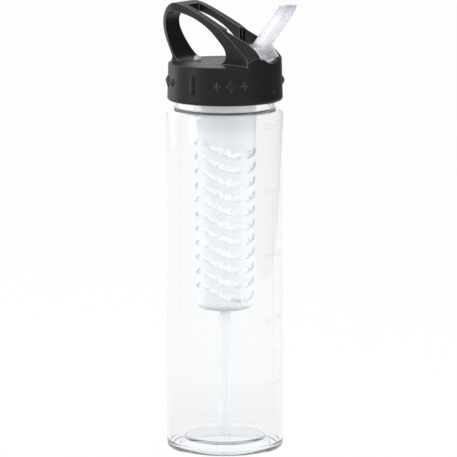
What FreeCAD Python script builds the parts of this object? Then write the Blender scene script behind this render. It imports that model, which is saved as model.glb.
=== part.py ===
"""Fruit infuser water bottle: clear bottle, black flip-spout lid with a handle, straw and slotted basket.

Millimetres. The origin is the centre of the foot ring, +Z runs up the bottle's axis and +X points to the spout.
"""

import FreeCAD, Part
import math
import os

import Sketcher

# Every size that can be set by itself, in millimetres, degrees or counts.
SIZES = {
    # Bottle
    "body_radius": 35.5,
    "body_wall": 1.9,
    "heel_radius": 3.0,
    "inner_heel_radius": 3.2,
    "foot_width": 4.5,
    "base_wall": 2.4,
    "punt_run": 7.0,
    "punt_rise": 6.5,
    "dome_rise": 1.2,
    "dome_bow": 0.2,
    "disc_radius": 8.0,
    "waist_low": 70.0,
    "waist_high": 190.0,
    "waist_depth": 0.6,
    "shoulder_low": 204.7,
    "shoulder_radius": 5.0,
    "shoulder_land": 0.5,
    "neck_wall": 2.0,
    "neck_height": 10.8,
    # Lid shell
    "lid_gap": 3.9,
    "lid_height": 23.0,
    "thread_room": 2.3,
    "skirt_wall": 2.7,
    "skirt_draft": 0.6,
    "skirt_hem": 2.0,
    "rim_round": 0.8,
    "deck_wall": 2.0,
    "handle_rise": 35.2,
    "handle_root": 1.4,
    "slot_half": 6.6,
    "crest_inset": 10.8,
    "slot_wide_run": 16.0,
    "slot_floor_gap": 0.6,
    "saddle_rise": 1.3,
    # Spout and its cradle
    "pivot_inset": 12.4,
    "pivot_rise": 6.0,
    "spout_angle": 51.2,
    "fold_angle": 150.0,
    "drum_radius": 10.5,
    "drum_half": 9.6,
    "drum_flat": 5.0,
    "ear_front": 6.3,
    "ear_drop": 1.0,
    "drum_gap": 0.3,
    "drum_wall": 2.4,
    "drum_lip": 2.5,
    "core_x": 4.2,
    "ear_wall": 2.0,
    "well_wall": 1.8,
    "trunnion_radius": 3.0,
    "trunnion_reach": 2.8,
    "trunnion_fit": 0.06,
    "mouth_thick": 7.2,
    "mouth_width": 10.4,
    "mouth_round": 1.6,
    "mouth_rise": 30.8,
    "tip_bevel_drop": 7.3,
    "tip_bevel_out": 3.1,
    "bore_radius": 2.0,
    # Gasket and insert
    "gasket_thick": 2.0,
    "gasket_lap": 1.0,
    "insert_wall": 2.0,
    "insert_gap": 1.0,
    "insert_rim_wall": 1.6,
    "spigot_length": 30.9,
    "spigot_wall": 1.5,
    "duct_half": 4.4,
    "duct_channel_half": 2.2,
    "duct_roof": 1.4,
    "duct_end": 4.8,
    "seal_wall": 2.2,
    "seal_rise": 3.4,
    "seat_fit": 0.05,
    "insert_vent_radius": 1.2,
    "insert_vent_run": 7.1,
    # Straw
    "nipple_radius": 2.65,
    "nipple_wall": 0.75,
    "nipple_length": 9.0,
    "straw_fit": 0.05,
    "straw_wall": 0.8,
    "straw_stand": 3.0,
    # Vent valve
    "valve_inset": 13.9,
    "valve_stem": 1.4,
    "valve_flange": 2.4,
    "valve_dome": 2.6,
    "valve_tip": 1.0,
    "valve_hole": 0.5,
    "valve_lock": 1.0,
    # Infuser basket
    "neck_passage": 8.75,
    "basket_draft": 1.85,
    "basket_wall": 1.5,
    "basket_floor": 1.6,
    "basket_bottom": 86.0,
    "basket_corner": 4.5,
    "basket_thread_room": 1.35,
    "basket_clock": -63.5,
    "slot_rows": 11,
    "slot_pitch": 8.78,
    "slot_first": 91.5,
    "slot_side": 8.25,
    "slot_climb": 9.0,
    "slot_tall": 4.5,
    "slot_taper": 1.6,
    "slot_bow": 1.3,
    # Straw grommet
    "straw_gap": 0.3,
    "grommet_wall": 1.4,
    "grommet_lip": 1.4,
    "grommet_lip_thick": 1.2,
    # One overrun for every cut
    "overrun": 2.0,
}

# Side view of handle and hump, front to back over the crest: shares of the rim radius and of the rise.
RIDGE_SHARES = [
    (1.018, 0.045), (0.931, 0.152), (0.847, 0.251), (0.727, 0.340), (0.601, 0.410), (0.450, 0.476),
    (0.255, 0.555), (0.075, 0.635), (-0.090, 0.716), (-0.339, 0.834), (-0.571, 0.930), (-0.751, 0.984),
    (-0.901, 0.997), (-1.045, 0.935), (-1.165, 0.800), (-1.208, 0.648), (-1.164, 0.465), (-1.059, 0.287),
    (-0.961, 0.141), (-0.925, 0.062), (-0.961, 0.000),
]
# Side view of the finger hole, from the leg's foot over the top to the hump's foot.
FINGER_HOLE_SHARES = [
    (-0.706, 0.000), (-0.805, 0.034), (-0.889, 0.113), (-0.981, 0.245), (-1.082, 0.445), (-1.128, 0.634),
    (-1.096, 0.766), (-0.961, 0.849), (-0.769, 0.842), (-0.520, 0.779), (-0.261, 0.668), (-0.042, 0.527),
    (0.135, 0.369), (0.246, 0.243), (0.267, 0.141), (0.228, 0.056), (0.120, 0.000),
]
# Half of the handle's plan, back to front: shares of the rim radius. The foot flares out past the rim.
PLAN_SHARES = [
    (-1.231, 0.156), (-1.141, 0.207), (-1.021, 0.264), (-0.841, 0.321), (-0.601, 0.325),
    (-0.090, 0.345), (0.321, 0.382), (0.541, 0.418), (0.700, 0.455), (0.800, 0.500), (0.860, 0.580),
]
# Sloping flank of the hump: the station along X, then Y and Z of its inner line and of its outer line.
FLANK_SHARES = [
    (0.075, 0.300, 0.640, 0.450, 0.628), (0.255, 0.285, 0.560, 0.483, 0.460),
    (0.450, 0.279, 0.479, 0.532, 0.250), (0.601, 0.288, 0.413, 0.600, 0.060),
    (0.727, 0.300, 0.343, 0.670, -0.010), (0.847, 0.312, 0.254, 0.750, -0.090),
    (1.018, 0.330, 0.062, 0.800, -0.200),
]

LEFT = 1
RIGHT = -1
FULL_TURN = 360
RIGHT_ANGLE = 90
PARALLEL_SHARE = 0.999


class Size:
    """A length that knows its value and the sheet formula that gives it."""

    def __init__(self, value, text):
        self.value = value
        self.text = text

    def __float__(self):
        return float(self.value)

    def __add__(self, other):
        return Size(self.value + float(other), f"({self.text} + {formula(other)})")

    def __sub__(self, other):
        return Size(self.value - float(other), f"({self.text} - {formula(other)})")

    def __mul__(self, other):
        return Size(self.value * float(other), f"({self.text} * {formula(other)})")

    def __truediv__(self, other):
        return Size(self.value / float(other), f"({self.text} / {formula(other)})")

    def __neg__(self):
        return Size(-self.value, f"(0 - {self.text})")

    __rmul__ = __mul__


def formula(value):
    return value.text if isinstance(value, Size) else repr(float(value))


def cosine(angle):
    return Size(math.cos(math.radians(angle.value)), f"cos({angle.text})")


def sine(angle):
    return Size(math.sin(math.radians(angle.value)), f"sin({angle.text})")


def root(size):
    return Size(math.sqrt(size.value), f"sqrt({size.text})")


def leg(hypotenuse, other):
    """The third side of a right-angled triangle."""
    return root(hypotenuse * hypotenuse - other * other)


def bow_radius(chord, depth):
    """Radius of the arc that stands off its chord by a depth."""
    return chord * chord / (depth * 8) + depth / 2


doc = FreeCAD.newDocument("infuser_bottle")
sheet = doc.addObject("Spreadsheet::Sheet", "sizes")


class Sizes:
    """The driving dimensions, one attribute for each cell of the sheet."""


S = Sizes()
for row, (alias, number) in enumerate(SIZES.items(), start=1):
    sheet.set(f"A{row}", alias)
    sheet.set(f"B{row}", str(number))
    sheet.setAlias(f"B{row}", alias)
    setattr(S, alias, Size(number, f"sizes.{alias}"))
doc.recompute()


def bind(thing, **formulas):
    """Ties properties of an object to the sheet."""
    for name, size in formulas.items():
        thing.setExpression(name, size.text)


def place(thing, x=None, y=None, z=None):
    for axis, size in (("x", x), ("y", y), ("z", z)):
        if size is not None:
            thing.setExpression(f"Placement.Base.{axis}", size.text)


def origin_plane(body, role):
    return [feature for feature in body.Origin.OriginFeatures if feature.Role == role][0]


def arc_middle(a, b, radius, side):
    """Middle of the shorter arc from a to b that lies to the left or right of the way from a to b."""
    chord = b - a
    half = chord.Length / 2
    normal = FreeCAD.Vector(-chord.y, chord.x, 0).normalize()
    depth = radius - math.sqrt(max(radius * radius - half * half, 0))
    return (a + b) / 2 + normal * (side * depth)


def sketch_loop(body, name, role, steps):
    """A closed sketch on an origin plane. A step is (x, y) for a line, (x, y, radius, side) for an arc."""
    sketch = body.newObject("Sketcher::SketchObject", name)
    sketch.AttachmentSupport = [(origin_plane(body, role), "")]
    sketch.MapMode = "FlatFace"
    points = [FreeCAD.Vector(float(step[0]), float(step[1]), 0) for step in steps]
    count = len(steps)
    ends = []
    constraints = []
    formulas = {}
    for index, point in enumerate(points):
        step = steps[(index + 1) % count]
        target = points[(index + 1) % count]
        if len(step) == 2:
            sketch.addGeometry(Part.LineSegment(point, target), False)
            ends.append((1, 2))
        else:
            middle = arc_middle(point, target, float(step[2]), step[3])
            first, last = (point, target) if step[3] == RIGHT else (target, point)
            sketch.addGeometry(Part.Arc(first, middle, last), False)
            ends.append((1, 2) if step[3] == RIGHT else (2, 1))
            formulas[len(constraints)] = step[2]
            constraints.append(Sketcher.Constraint("Radius", index, float(step[2])))
    for index, step in enumerate(steps):
        following = (index + 1) % count
        here, there = ends[index][1], ends[following][0]
        constraints.append(Sketcher.Constraint("Coincident", index, here, following, there))
        for kind, value, axis in (("DistanceX", step[0], -2), ("DistanceY", step[1], -1)):
            if isinstance(value, Size):
                formulas[len(constraints)] = value
                constraints.append(Sketcher.Constraint(kind, index, ends[index][0], float(value)))
            else:
                constraints.append(Sketcher.Constraint("PointOnObject", index, ends[index][0], axis))
    sketch.addConstraint(constraints)
    for index, size in formulas.items():
        sketch.setExpression(f"Constraints[{index}]", size.text)
    return sketch


def new_body(name):
    body = doc.addObject("PartDesign::Body", name)
    body.Label = name
    return body


def turned(name, steps):
    """A body turned about its own Z axis from a half section."""
    body = new_body(name)
    profile = sketch_loop(body, f"{name}_section", "XZ_Plane", steps)
    revolution = body.newObject("PartDesign::Revolution", f"{name}_turn")
    revolution.Profile = profile
    revolution.ReferenceAxis = (profile, ["V_Axis"])
    revolution.Angle = FULL_TURN
    return body


def pad_across(body, name, steps, width):
    """Adds a side-view outline, drawn on XZ, to a body as a pad of this width about the middle plane."""
    profile = sketch_loop(body, f"{name}_outline", "XZ_Plane", steps)
    pad = body.newObject("PartDesign::Pad", name)
    pad.Profile = profile
    pad.SideType = "Symmetric"
    bind(pad, Length=width)
    return pad


def pocket_across(body, name, steps, width):
    """Cuts a side-view outline, drawn on XZ, out of a body over this width about the middle plane."""
    profile = sketch_loop(body, f"{name}_outline", "XZ_Plane", steps)
    pocket = body.newObject("PartDesign::Pocket", name)
    pocket.Profile = profile
    pocket.SideType = "Symmetric"
    bind(pocket, Length=width)
    return pocket


def primitive_box(body, kind, name, x_low, x_high, half, z_low, z_high):
    """An additive or subtractive box of a body, centred on the XZ plane."""
    feature = body.newObject(f"PartDesign::{kind}Box", name)
    bind(feature, Length=x_high - x_low, Width=half * 2, Height=z_high - z_low)
    place(feature, x_low, -half, z_low)
    return feature


def primitive_rod(body, kind, name, radius, height, x=None, z=None):
    """An additive or subtractive upright cylinder of a body."""
    feature = body.newObject(f"PartDesign::{kind}Cylinder", name)
    bind(feature, Radius=radius, Height=height)
    place(feature, x=x, z=z)
    return feature


def cross_rod(name, radius, half, x, z):
    """A cylinder along Y, centred on the XZ plane."""
    rod = doc.addObject("Part::Cylinder", name)
    bind(rod, Radius=radius, Height=half * 2)
    rod.Placement.Rotation = FreeCAD.Rotation(FreeCAD.Vector(1, 0, 0), -RIGHT_ANGLE)
    place(rod, x, -half, z)
    return rod


def upright_rod(name, radius, height, x, z):
    rod = doc.addObject("Part::Cylinder", name)
    bind(rod, Radius=radius, Height=height)
    place(rod, x=x, z=z)
    return rod


def joined(name, shapes):
    fuse = doc.addObject("Part::MultiFuse", name)
    fuse.Shapes = shapes
    fuse.Refine = True
    return fuse


def shared(name, shapes):
    common = doc.addObject("Part::MultiCommon", name)
    common.Shapes = shapes
    return common


def cut(name, base, tool):
    result = doc.addObject("Part::Cut", name)
    result.Base = base
    result.Tool = tool
    result.Refine = True
    return result


def freeform(name, shape):
    feature = doc.addObject("Part::Feature", name)
    feature.Shape = shape
    return feature


def spline(points):
    curve = Part.BSplineCurve()
    curve.interpolate(points)
    return curve.toShape()


# Heights and radii that several pieces share.
disc_under = S.punt_rise + S.dome_rise
shoulder_top = S.shoulder_low + S.shoulder_radius
shoulder_inner = S.body_radius - S.shoulder_radius
neck_radius = shoulder_inner - S.shoulder_land
neck_top = shoulder_top + S.neck_height
neck_bore = neck_radius - S.neck_wall
lid_bottom = shoulder_top + S.lid_gap
deck_top = lid_bottom + S.lid_height
deck_under = deck_top - S.deck_wall
skirt_bore = neck_radius + S.thread_room
skirt_radius = skirt_bore + S.skirt_wall
rim_radius = skirt_radius - S.skirt_draft
rim_reach = skirt_radius + S.overrun
pivot_x = rim_radius - S.pivot_inset
valve_x = rim_radius - S.valve_inset
flange_low = neck_top + S.gasket_thick
flange_top = flange_low + S.insert_wall
flange_radius = skirt_bore - S.insert_gap
pivot_z = deck_top + S.pivot_rise
well_radius = S.drum_radius + S.drum_gap
well_half = S.drum_half + S.drum_gap
well_low = pivot_z - well_radius - S.well_wall
duct_top = well_low - S.drum_gap
straw_bore = S.nipple_radius + S.straw_fit
straw_radius = straw_bore + S.straw_wall
basket_radius = neck_bore - S.neck_passage
spigot_radius = basket_radius - S.basket_wall - S.basket_thread_room
seal_radius = S.bore_radius + S.seal_wall
grommet_bore = straw_radius + S.straw_gap
grommet_neck = grommet_bore + S.grommet_wall


def make_bottle():
    bore = S.body_radius - S.body_wall
    foot_outer = S.body_radius - S.heel_radius
    foot_inner = foot_outer - S.foot_width
    punt_radius = foot_inner - S.punt_run
    waist_radius = bow_radius(S.waist_high - S.waist_low, S.waist_depth)
    dome_run = punt_radius - S.disc_radius
    dome_radius = bow_radius(root(dome_run * dome_run + S.dome_rise * S.dome_rise), S.dome_bow)
    ceiling = shoulder_top - S.body_wall
    return turned("bottle_body", [
        (foot_inner, 0),
        (foot_outer, 0),
        (S.body_radius, S.heel_radius, S.heel_radius, RIGHT),
        (S.body_radius, S.waist_low),
        (S.body_radius, S.waist_high, waist_radius, LEFT),
        (S.body_radius, S.shoulder_low),
        (shoulder_inner, shoulder_top, S.shoulder_radius, RIGHT),
        (neck_radius, shoulder_top),
        (neck_radius, neck_top),
        (neck_bore, neck_top),
        (neck_bore, ceiling),
        (shoulder_inner, ceiling),
        (bore, S.shoulder_low, S.shoulder_radius - S.body_wall, LEFT),
        (bore, S.waist_high),
        (bore, S.waist_low, waist_radius, RIGHT),
        (bore, S.base_wall + S.inner_heel_radius),
        (bore - S.inner_heel_radius, S.base_wall, S.inner_heel_radius, LEFT),
        (foot_inner, S.base_wall),
        (punt_radius, S.punt_rise + S.base_wall),
        (S.disc_radius, disc_under + S.base_wall, dome_radius, RIGHT),
        (0, disc_under + S.base_wall),
        (0, disc_under),
        (S.disc_radius, disc_under),
        (punt_radius, S.punt_rise, dome_radius, LEFT),
    ])


def make_gasket():
    return turned("lid_gasket", [
        (neck_bore - S.gasket_lap, neck_top),
        (neck_radius, neck_top),
        (neck_radius, flange_low),
        (neck_bore - S.gasket_lap, flange_low),
    ])


def make_insert():
    nipple_bore = S.nipple_radius - S.nipple_wall
    spigot_low = flange_low - S.spigot_length
    rim_bore = flange_radius - S.insert_rim_wall
    body = turned("lid_insert", [
        (nipple_bore, flange_low - S.nipple_length),
        (S.nipple_radius, flange_low - S.nipple_length),
        (S.nipple_radius, flange_low),
        (spigot_radius - S.spigot_wall, flange_low),
        (spigot_radius - S.spigot_wall, spigot_low),
        (spigot_radius, spigot_low),
        (spigot_radius, flange_low),
        (flange_radius, flange_low),
        (flange_radius, deck_under),
        (rim_bore, deck_under),
        (rim_bore, flange_top),
        (nipple_bore, flange_top),
    ])
    notch_half = well_half + S.well_wall + S.drum_gap
    notch_x = pivot_x - well_radius
    primitive_box(body, "Subtractive", "rim_notch", notch_x, flange_radius + S.overrun, notch_half,
                  flange_top, deck_under + S.overrun)
    duct_far = pivot_x + S.duct_end
    primitive_box(body, "Additive", "duct", -S.duct_half, duct_far, S.duct_half, flange_top, duct_top)
    primitive_box(body, "Subtractive", "duct_channel", -S.duct_channel_half, pivot_x + S.duct_channel_half,
                  S.duct_channel_half, flange_top - S.insert_wall / 2, duct_top - S.duct_roof)
    primitive_rod(body, "Subtractive", "duct_port", S.bore_radius, S.overrun * 2, pivot_x, duct_top - S.overrun)
    primitive_rod(body, "Subtractive", "insert_vent", S.insert_vent_radius, S.insert_wall + S.overrun,
                  -spigot_radius - S.insert_vent_run, flange_low - S.overrun / 2)
    return body


def handle_point(x_share, z_share, y_share=0):
    """A point of the handle from its shares of the rim radius and of the handle's rise."""
    rim = rim_radius.value
    return FreeCAD.Vector(x_share * rim, y_share * rim, deck_top.value + z_share * S.handle_rise.value)


def handle_side():
    """The handle's side view as a slab: leg, crest, arms and hump round the finger hole."""
    ridge = [handle_point(*share) for share in RIDGE_SHARES]
    hole = [handle_point(*share) for share in FINGER_HOLE_SHARES]
    sunk = FreeCAD.Vector(0, 0, -S.handle_root.value)
    front_foot = FreeCAD.Vector(ridge[0].x, 0, deck_top.value) + sunk
    corners = [ridge[-1], ridge[-1] + sunk, hole[0] + sunk, hole[0]]
    edges = [spline(ridge)]
    edges += [Part.makeLine(a, b) for a, b in zip(corners, corners[1:])]
    edges.append(spline(hole))
    corners = [hole[-1], hole[-1] + sunk, front_foot, ridge[0]]
    edges += [Part.makeLine(a, b) for a, b in zip(corners, corners[1:])]
    face = Part.Face(Part.Wire(Part.__sortEdges__(edges)))
    reach = rim_radius.value
    slab = face.extrude(FreeCAD.Vector(0, reach * 2, 0))
    slab.translate(FreeCAD.Vector(0, -reach, 0))
    return slab


def handle_plan():
    """The handle's plan as a column: narrow leg, widening arms and a front that stands past the rim."""
    rim = rim_radius.value
    low = deck_top.value - S.handle_root.value
    near = [FreeCAD.Vector(x * rim, -y * rim, low) for x, y in PLAN_SHARES]
    far = [FreeCAD.Vector(point.x, -point.y, low) for point in near]
    near_corner = FreeCAD.Vector(rim_reach.value, near[-1].y, low)
    far_corner = FreeCAD.Vector(rim_reach.value, far[-1].y, low)
    front = [near[-1], near_corner, far_corner, far[-1]]
    edges = [spline(near), spline(far), Part.makeLine(near[0], far[0])]
    edges += [Part.makeLine(a, b) for a, b in zip(front, front[1:])]
    face = Part.Face(Part.Wire(Part.__sortEdges__(edges)))
    return face.extrude(FreeCAD.Vector(0, 0, S.handle_rise.value + S.handle_root.value + S.overrun.value))


def hump_flank(side):
    """What the sloping flank takes off the hump, on the side of Y given by the sign."""
    inner = [handle_point(x, z, side * y) for x, y, z, _, _ in FLANK_SHARES]
    outer = [handle_point(x, z, side * y) for x, _, _, y, z in FLANK_SHARES]
    slope = Part.makeRuledSurface(spline(inner), spline(outer))
    return slope.extrude(FreeCAD.Vector(0, 0, S.handle_rise.value))


def front_waste():
    """What the skirt's taper, carried on upward, takes off the hump's front."""
    low = deck_top - S.handle_root
    tall = S.handle_rise + S.handle_root + S.overrun * 2
    taper = S.skirt_draft / (S.lid_height - S.skirt_hem - S.rim_round)
    low_radius = rim_radius + taper * (S.handle_root - S.rim_round)
    cone = doc.addObject("Part::Cone", "skirt_carried_up")
    bind(cone, Radius1=low_radius, Radius2=low_radius - taper * tall, Height=tall)
    place(cone, z=low)
    block = doc.addObject("Part::Box", "front_block")
    bind(block, Length=rim_reach + S.overrun, Width=rim_reach * 2, Height=tall)
    place(block, y=-rim_reach, z=low)
    return cut("front_waste", block, cone)


def make_spout_slot():
    """The fork between the arms, its floor just under the folded mouthpiece."""
    rise = sine(S.fold_angle) / cosine(S.fold_angle)
    drop = (S.mouth_thick / 2 + S.slot_floor_gap) / cosine(S.fold_angle)
    top = deck_top + S.handle_rise + S.overrun
    slot_end = rim_radius - S.crest_inset
    slot_step = pivot_x - S.slot_wide_run

    def floor(x):
        return pivot_z + drop + rise * (x - pivot_x)

    body = new_body("spout_slot")
    pad_across(body, "slot_rear", [
        (-slot_end, floor(-slot_end)),
        (pivot_x, floor(pivot_x)),
        (pivot_x, top),
        (-slot_end, top),
    ], S.slot_half * 2)
    pad_across(body, "slot_front", [
        (slot_step, floor(slot_step)),
        (pivot_x, floor(pivot_x)),
        (pivot_x, top),
        (slot_step, top),
    ], well_half * 2)
    return body


def saddle():
    """The round dip in the hump's front, where the drum's lip shows."""
    rod = doc.addObject("Part::Cylinder", "saddle")
    bind(rod, Radius=well_half, Height=rim_reach)
    rod.Placement.Rotation = FreeCAD.Rotation(FreeCAD.Vector(0, 1, 0), RIGHT_ANGLE)
    place(rod, x=pivot_x, z=deck_top + S.saddle_rise + well_half)
    return rod


def make_lid_shell():
    cap = turned("lid_cap", [
        (skirt_bore, lid_bottom),
        (skirt_radius - S.skirt_hem, lid_bottom),
        (skirt_radius, lid_bottom + S.skirt_hem, S.skirt_hem, RIGHT),
        (rim_radius, deck_top - S.rim_round),
        (rim_radius - S.rim_round, deck_top, S.rim_round, RIGHT),
        (0, deck_top),
        (0, deck_under),
        (skirt_bore, deck_under),
    ])
    side = freeform("handle_side", handle_side())
    plan = freeform("handle_plan", handle_plan())
    blank = shared("handle_blank", [side, plan])
    waste = joined("hump_waste", [
        freeform("near_flank", hump_flank(-1)),
        freeform("far_flank", hump_flank(1)),
        front_waste(),
    ])
    handle = cut("handle", blank, waste)
    envelope = upright_rod("lid_envelope", skirt_bore + S.skirt_wall / 2, deck_top - S.deck_wall / 2 - well_low,
                           x=None, z=well_low)
    drum_boss = cross_rod("drum_boss", well_radius + S.well_wall, well_half + S.well_wall, pivot_x, pivot_z)
    cradle = shared("cradle", [drum_boss, envelope])
    solid = joined("lid_solid", [cap, handle, cradle])
    openings = joined("lid_openings", [
        make_spout_slot(),
        saddle(),
        cross_rod("drum_well", well_radius, well_half, pivot_x, pivot_z),
        cross_rod("trunnion_sockets", S.trunnion_radius + S.trunnion_fit,
                  S.drum_half + S.trunnion_reach + S.drum_gap, pivot_x, pivot_z),
        upright_rod("seal_hole", seal_radius + S.seat_fit, S.well_wall + S.overrun * 2,
                    pivot_x, well_low - S.overrun),
        upright_rod("valve_seat", S.valve_stem + S.seat_fit, S.deck_wall + S.overrun * 2,
                    -valve_x, deck_under - S.overrun),
    ])
    return cut("lid_shell", solid, openings)


def make_spout():
    """Drum, trunnions and mouthpiece, drawn about the pivot in the open pose."""
    angle = S.spout_angle
    half = S.mouth_thick / 2
    across_x = half * sine(angle)
    across_z = half * cosine(angle)
    slope = cosine(angle) / sine(angle)

    def front_x(z):
        return across_x + (z + across_z) * slope

    def back_x(z):
        return (z - across_z) * slope - across_x

    flat_x = leg(S.drum_radius, S.drum_flat)
    core_radius = S.drum_radius - S.drum_wall
    beyond = S.drum_radius + S.overrun
    above = S.drum_flat + S.overrun
    body = new_body("flip_spout")
    pad_across(body, "drum", [
        (S.ear_front, S.drum_flat),
        (-flat_x, S.drum_flat),
        (0, -S.drum_radius, S.drum_radius, RIGHT),
        (leg(S.drum_radius, S.ear_drop), -S.ear_drop, S.drum_radius, RIGHT),
    ], S.drum_half * 2)
    pocket_across(body, "drum_core", [
        (front_x(above), above),
        (S.core_x, (S.core_x - across_x) / slope - across_z),
        (S.core_x, -leg(core_radius, S.core_x)),
        (leg(core_radius, S.drum_lip), -S.drum_lip, core_radius, RIGHT),
        (beyond, -S.drum_lip),
        (beyond, above),
    ], (S.drum_half - S.ear_wall) * 2)
    bevel_z = S.mouth_rise - S.tip_bevel_drop
    mouth = pad_across(body, "mouthpiece", [
        (across_x, -across_z),
        (front_x(bevel_z), bevel_z),
        (front_x(bevel_z) + S.tip_bevel_out, S.mouth_rise),
        (back_x(S.mouth_rise), S.mouth_rise),
        (-across_x, across_z),
    ], S.mouth_width)
    doc.recompute()
    along = FreeCAD.Vector(cosine(angle).value, 0, sine(angle).value)
    rounding = body.newObject("PartDesign::Fillet", "mouthpiece_edges")
    rounding.Base = (mouth, long_edges(mouth.Shape, along, S.mouth_rise.value / 2))
    bind(rounding, Radius=S.mouth_round)
    trunnion_half = S.drum_half + S.trunnion_reach
    trunnions = primitive_rod(body, "Additive", "trunnions", S.trunnion_radius, trunnion_half * 2)
    trunnions.Placement.Rotation = FreeCAD.Rotation(FreeCAD.Vector(1, 0, 0), -RIGHT_ANGLE)
    place(trunnions, y=-trunnion_half)
    passage = primitive_rod(body, "Subtractive", "passage", S.bore_radius, S.mouth_rise * 2)
    passage.Placement.Rotation = FreeCAD.Rotation(FreeCAD.Vector(0, 1, 0), RIGHT_ANGLE - angle.value)
    primitive_rod(body, "Subtractive", "inlet", S.bore_radius, S.drum_radius + S.overrun,
                  z=-S.drum_radius - S.overrun)
    place(body, pivot_x, z=pivot_z)
    return body


def long_edges(shape, along, least):
    """Names of the straight edges of a shape that run along a direction and are longer than a least length."""
    names = []
    for index, edge in enumerate(shape.Edges, start=1):
        if edge.Length > least and abs(edge.tangentAt(edge.FirstParameter).dot(along)) > PARALLEL_SHARE:
            names.append(f"Edge{index}")
    return names


def make_spout_seal():
    """Soft collar on the duct's port, hollowed on top to the drum's curve."""
    body = turned("spout_seal", [
        (S.bore_radius, 0),
        (seal_radius, 0),
        (seal_radius, S.seal_rise),
        (S.bore_radius, S.seal_rise),
    ])
    half = seal_radius + S.overrun
    hollow = primitive_rod(body, "Subtractive", "drum_hollow", well_radius, half * 2)
    hollow.Placement.Rotation = FreeCAD.Rotation(FreeCAD.Vector(1, 0, 0), -RIGHT_ANGLE)
    place(hollow, y=-half, z=pivot_z - duct_top)
    place(body, pivot_x, z=duct_top)
    return body


def make_vent_valve():
    """Mushroom-shaped valve in the deck: dome above, stem in the hole and a lock ring below."""
    body = turned("vent_valve", [
        (S.valve_hole, -S.deck_wall - S.valve_lock),
        (S.valve_flange, -S.deck_wall - S.valve_lock),
        (S.valve_flange, -S.deck_wall),
        (S.valve_stem, -S.deck_wall),
        (S.valve_stem, 0),
        (S.valve_flange, 0),
        (S.valve_tip, S.valve_dome, S.valve_dome, RIGHT),
        (S.valve_hole, S.valve_dome),
    ])
    place(body, -valve_x, z=deck_top)
    return body


def make_straw():
    straw_bottom = disc_under + S.base_wall + S.straw_stand
    return turned("straw", [
        (straw_bore, straw_bottom),
        (straw_radius, straw_bottom),
        (straw_radius, flange_low),
        (straw_bore, flange_low),
    ])


def make_basket():
    """Tapered basket with four faces of climbing slots, alternately handed, and a hole for the straw."""
    foot = basket_radius - S.basket_draft
    hole = grommet_neck + S.straw_gap
    inner_corner = S.basket_corner - S.basket_wall
    floor = S.basket_bottom + S.basket_floor
    body = turned("infuser_basket", [
        (hole, S.basket_bottom),
        (foot - S.basket_corner, S.basket_bottom),
        (foot, S.basket_bottom + S.basket_corner, S.basket_corner, RIGHT),
        (basket_radius, flange_low),
        (basket_radius - S.basket_wall, flange_low),
        (foot - S.basket_wall, floor + inner_corner),
        (foot - S.basket_wall - inner_corner, floor, inner_corner, LEFT),
        (hole, floor),
    ])
    slot_reach = basket_radius - S.slot_side
    chord = root(slot_reach * slot_reach * 4 + S.slot_climb * S.slot_climb)
    bend = bow_radius(chord, S.slot_bow)
    tall = S.slot_tall
    tip = S.slot_tall - S.slot_taper
    outline = [
        (-slot_reach, S.slot_first + S.slot_climb),
        (slot_reach, S.slot_first, bend, RIGHT),
        (slot_reach, S.slot_first + tall, tall / 2 + S.slot_bow, RIGHT),
        (-slot_reach, S.slot_first + S.slot_climb + tip, bend, LEFT),
    ]
    for name, role, outward in (("front", "YZ_Plane", True), ("side", "XZ_Plane", False)):
        doc.recompute()
        before = body.Shape.Volume
        profile = sketch_loop(body, f"{name}_slot", role, outline)
        pocket = body.newObject("PartDesign::Pocket", f"{name}_slot_cut")
        pocket.Profile = profile
        pocket.Reversed = outward
        bind(pocket, Length=basket_radius + S.overrun)
        rows = body.newObject("PartDesign::MultiTransform", f"{name}_slots")
        rows.Originals = [pocket]
        column = body.newObject("PartDesign::LinearPattern", f"{name}_column")
        column.Direction = (origin_plane(body, "Z_Axis"), [""])
        bind(column, Length=S.slot_pitch * (S.slot_rows - 1), Occurrences=S.slot_rows)
        pair = body.newObject("PartDesign::PolarPattern", f"{name}_pair")
        pair.Axis = (origin_plane(body, "Z_Axis"), [""])
        pair.Angle = FULL_TURN
        pair.Occurrences = 2
        rows.Transformations = [column, pair]
        body.Tip = rows
        doc.recompute()
        if body.Shape.Volume >= before:
            raise ValueError(f"the {name} slots cut nothing")
    body.Placement.Rotation = FreeCAD.Rotation(FreeCAD.Vector(0, 0, 1), S.basket_clock.value)
    return body


def make_grommet():
    """Soft ring that grips the basket's floor between two lips and lets the straw through."""
    low = S.basket_bottom - S.grommet_lip_thick
    floor = S.basket_bottom + S.basket_floor
    lip = grommet_neck + S.straw_gap + S.grommet_lip
    return turned("straw_grommet", [
        (grommet_bore, low),
        (lip, low),
        (lip, S.basket_bottom),
        (grommet_neck, S.basket_bottom),
        (grommet_neck, floor),
        (lip, floor),
        (lip, floor + S.grommet_lip_thick),
        (grommet_bore, floor + S.grommet_lip_thick),
    ])


NODES = [
    make_bottle(),
    make_gasket(),
    make_insert(),
    make_lid_shell(),
    make_spout(),
    make_spout_seal(),
    make_vent_valve(),
    make_straw(),
    make_basket(),
    make_grommet(),
]
doc.recompute()

for thing in doc.Objects:
    if "Invalid" in thing.State or "Error" in thing.State:
        raise ValueError(f"{thing.Label} failed: {thing.State}")
for node in NODES:
    if node.Shape.isNull() or not node.Shape.isValid() or len(node.Shape.Solids) != 1:
        raise ValueError(f"{node.Label} is not one valid solid: {len(node.Shape.Solids)}")

os.makedirs("parts", exist_ok=True)
for node in NODES:
    node.Shape.exportStep(f"parts/{node.Label}.step")
    print(node.Label, round(node.Shape.Volume))
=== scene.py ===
"""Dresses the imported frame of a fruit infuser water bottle: plastics, threads, ornament and scale."""

import math
from functools import partial

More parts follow.
